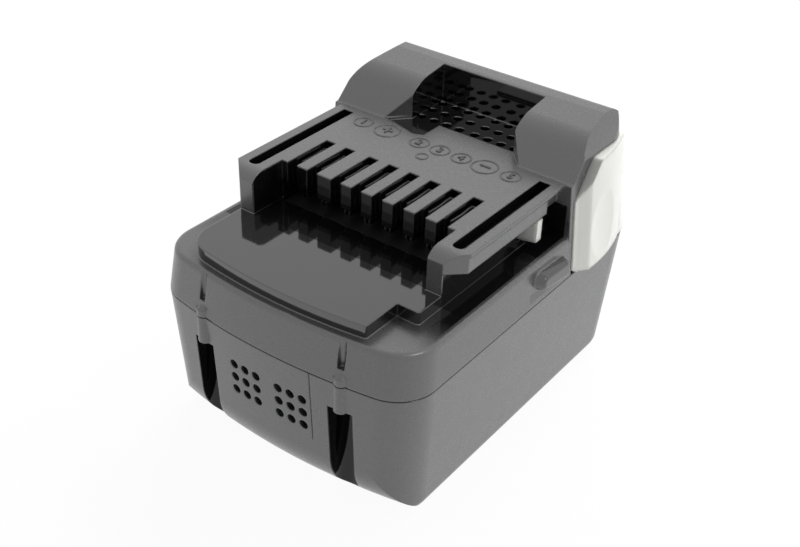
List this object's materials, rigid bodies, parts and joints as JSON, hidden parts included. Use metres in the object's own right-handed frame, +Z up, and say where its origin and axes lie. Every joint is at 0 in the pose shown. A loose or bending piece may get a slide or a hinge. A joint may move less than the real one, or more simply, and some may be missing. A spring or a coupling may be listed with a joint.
{
  "type": "power tool battery pack",
  "caption": "Slide-on battery pack for cordless tools with side rails, a slotted contact comb, a rear hump with a vented finger pocket and two side latch buttons.",
  "frame": {"origin": "middle of the base, on the surface the pack stands on", "axes": "+X to the right, -Y towards the vented front, +Z up; the tool's rails slide on from the front along +Y"},
  "size_m": [0.0824, 0.1094, 0.073],
  "materials": {
    "case_plastic": "semi-gloss dark grey moulded plastic",
    "button_plastic": "satin off-white moulded plastic",
    "holder_plastic": "matt black moulded plastic",
    "terminal_plastic": "satin black moulded plastic",
    "contact_copper": "bright copper alloy",
    "cell_sleeve": "shrink sleeve over steel can",
    "strip_nickel": "nickel strip",
    "screw_steel": "blackened steel",
    "spring_steel": "spring wire",
    "board_laminate": "green circuit laminate",
    "board_part": "black moulded component",
    "sheet_fibre": "insulating sheet",
    "foam": "foam strip"
  },
  "bodies": {
    "pack": {"board_screws": "screw_steel", "board_tray": "holder_plastic", "case_screws": "screw_steel", "cell_01": "cell_sleeve", "cell_02": "cell_sleeve", "cell_03": "cell_sleeve", "cell_04": "cell_sleeve", "cell_05": "cell_sleeve", "cell_06": "cell_sleeve", "cell_07": "cell_sleeve", "cell_08": "cell_sleeve", "cell_09": "cell_sleeve", "cell_10": "cell_sleeve", "cell_holder_left": "holder_plastic", "cell_holder_right": "holder_plastic", "circuit_board": "board_laminate", "contact_1": "contact_copper", "contact_2": "contact_copper", "contact_3": "contact_copper", "contact_4": "contact_copper", "contact_5": "contact_copper", "contact_6": "contact_copper", "contact_7": "contact_copper", "contact_8": "contact_copper", "control_chip": "board_part", "foam_pads": "foam", "insulating_sheet_left": "sheet_fibre", "insulating_sheet_right": "sheet_fibre", "latch_spring_left": "spring_steel", "latch_spring_right": "spring_steel", "lower_case": "case_plastic", "power_transistors": "board_part", "strip_left_front": "strip_nickel", "strip_left_middle": "strip_nickel", "strip_left_rear": "strip_nickel", "strip_right_front": "strip_nickel", "strip_right_middle": "strip_nickel", "strip_right_rear": "strip_nickel", "terminal_holder": "terminal_plastic", "upper_case": "case_plastic"},
    "latch_left": {"latch_left": "button_plastic"},
    "latch_right": {"latch_right": "button_plastic"}
  },
  "joints": [
    {"name": "latch_left_press", "type": "slide", "parent": "pack", "child": "latch_left", "axis": [1, 0, 0], "range_m": [0, 0.0035], "stiffness_N_per_m": 900, "springref_m": -0.002, "deforming": ["latch_spring_left"]},
    {"name": "latch_right_press", "type": "slide", "parent": "pack", "child": "latch_right", "axis": [-1, 0, 0], "range_m": [0, 0.0035], "stiffness_N_per_m": 900, "springref_m": -0.002, "deforming": ["latch_spring_right"]}
  ]
}
